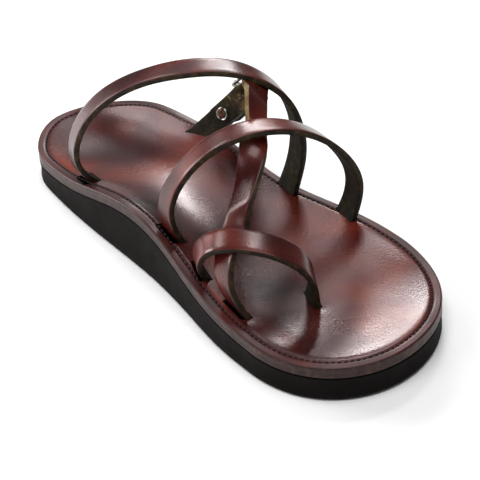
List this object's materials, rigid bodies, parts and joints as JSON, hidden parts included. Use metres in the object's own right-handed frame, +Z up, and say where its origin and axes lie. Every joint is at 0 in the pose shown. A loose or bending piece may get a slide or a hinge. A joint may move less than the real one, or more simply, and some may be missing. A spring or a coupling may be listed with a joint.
{
  "type": "leather strap sandal",
  "caption": "Flat leather sandal for the left foot with crossing straps over the instep, a toe loop and a side buckle.",
  "frame": {"origin": "on the floor plane, under the middle of the sole's length and near the middle of its width", "axes": "+Z up, toe towards -Y, outer side of the foot towards +X"},
  "size_m": [0.1072, 0.275, 0.0935],
  "materials": {
    "outsole": "matte",
    "footbed": "glossy",
    "upper": "glossy",
    "buckle_strap": "satin",
    "buckle_frame": "polished",
    "buckle_prong": "polished",
    "rivet": "burnished"
  },
  "bodies": {
    "root": {"outsole": "outsole", "footbed": "footbed", "upper": "upper", "buckle_strap": "buckle_strap", "buckle_frame": "buckle_frame", "buckle_prong": "buckle_prong", "rivet": "rivet"}
  },
  "joints": []
}
